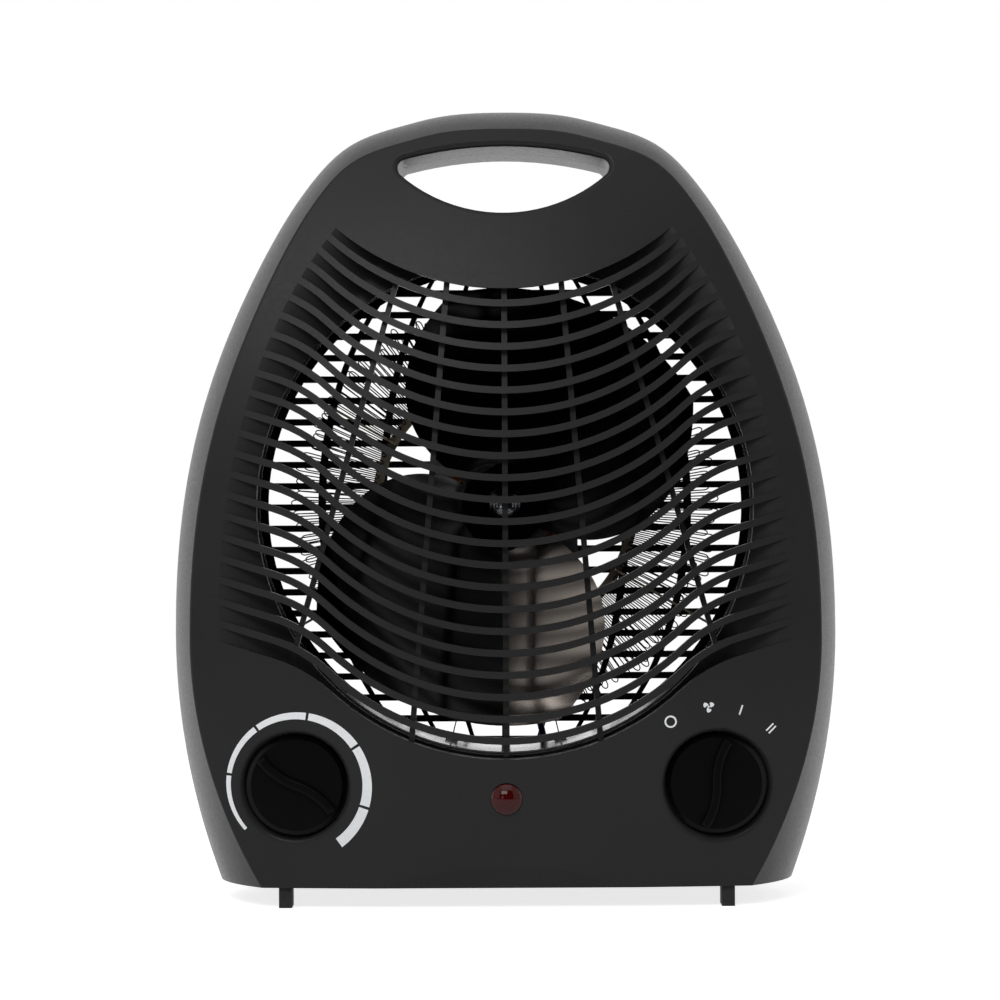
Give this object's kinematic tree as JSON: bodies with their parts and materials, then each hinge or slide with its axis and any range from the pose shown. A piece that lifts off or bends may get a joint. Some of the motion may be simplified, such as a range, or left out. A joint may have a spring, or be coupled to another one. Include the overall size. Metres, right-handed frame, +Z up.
{
  "type": "fan heater",
  "caption": "Free-standing upright electric fan heater with a barred front grille, a heating element behind a fan, two turning control knobs and a carrying handle.",
  "frame": {"origin": "on the floor, midway across the width and the depth", "axes": "+X to the right seen from the front, +Y from the front to the rear, +Z up"},
  "size_m": [0.2142, 0.12, 0.255],
  "materials": {
    "casing": "fine grained charcoal plastic",
    "knob": "smooth black plastic",
    "foot": "matt black rubber",
    "screw": "zinc plated",
    "lamination": "dull steel sheets",
    "copper": "bare copper",
    "winding": "varnished copper",
    "bobbin": "natural plastic",
    "bracket": "die cast",
    "bush": "sintered bronze",
    "steel": "ground steel",
    "fan": "bright rolled sheet",
    "chrome": "bright plated",
    "shield": "bright sheet",
    "mica": "pressed mica board",
    "wire": "oxidised resistance wire",
    "ceramic": "glazed ceramic",
    "phenolic": "dark moulding compound",
    "brass": "bright brass",
    "lens": "clear dark red plastic",
    "lamp": "clear glass",
    "lead_live": "brown insulation",
    "lead_neutral": "blue insulation",
    "lead_heat": "white heat resistant insulation"
  },
  "bodies": {
    "housing": {"front_cover": "casing", "rear_cover": "casing", "rear_grille": "casing", "left_front_foot": "foot", "right_front_foot": "foot", "left_rear_foot": "foot", "right_rear_foot": "foot", "housing_screws": "screw", "motor_stack": "lamination", "shading_rings": "copper", "motor_bobbin": "bobbin", "motor_winding": "winding", "motor_front_bracket": "bracket", "motor_rear_bracket": "bracket", "motor_bushes": "bush", "motor_screws": "screw", "heat_shield": "shield", "shield_screws": "screw", "wire_beads": "ceramic", "mica_arms": "mica", "mica_ring": "mica", "heating_wire_front": "wire", "heating_wire_rear": "wire", "thermal_cutout": "phenolic", "thermostat_body": "phenolic", "thermostat_bimetal": "brass", "thermostat_terminals": "brass", "selector_body": "phenolic", "selector_terminals": "brass", "control_nuts": "brass", "indicator_lens": "lens", "neon_lamp": "lamp", "lamp_sleeve": "ceramic", "cord_inlet_bush": "knob", "cord_clamp": "phenolic", "clamp_screws": "screw", "terminal_block": "phenolic", "terminal_screws": "brass", "lead_switched": "lead_live", "lead_supply": "lead_live", "lead_heat_front": "lead_heat", "lead_heat_rear": "lead_heat", "lead_neutral_front": "lead_neutral", "lead_neutral_rear": "lead_neutral", "lead_motor": "lead_neutral"},
    "fan_rotor": {"fan_impeller": "fan", "fan_nut": "chrome", "motor_shaft": "steel", "motor_rotor": "lamination"},
    "thermostat_dial": {"thermostat_knob": "knob", "thermostat_spindle": "steel"},
    "selector_dial": {"selector_knob": "knob", "selector_spindle": "steel", "selector_cam": "bobbin"}
  },
  "joints": [
    {"name": "fan_spin", "type": "hinge", "parent": "housing", "child": "fan_rotor", "pos_m": [0, 0, 0.1268], "axis": [0, 1, 0], "continuous": true},
    {"name": "thermostat_turn", "type": "hinge", "parent": "housing", "child": "thermostat_dial", "pos_m": [-0.0662, 0, 0.0394], "axis": [0, -1, 0], "range_deg": [-13, 260]},
    {"name": "selector_turn", "type": "hinge", "parent": "housing", "child": "selector_dial", "pos_m": [0.0662, 0, 0.0394], "axis": [0, -1, 0], "range_deg": [-29, 52]}
  ]
}
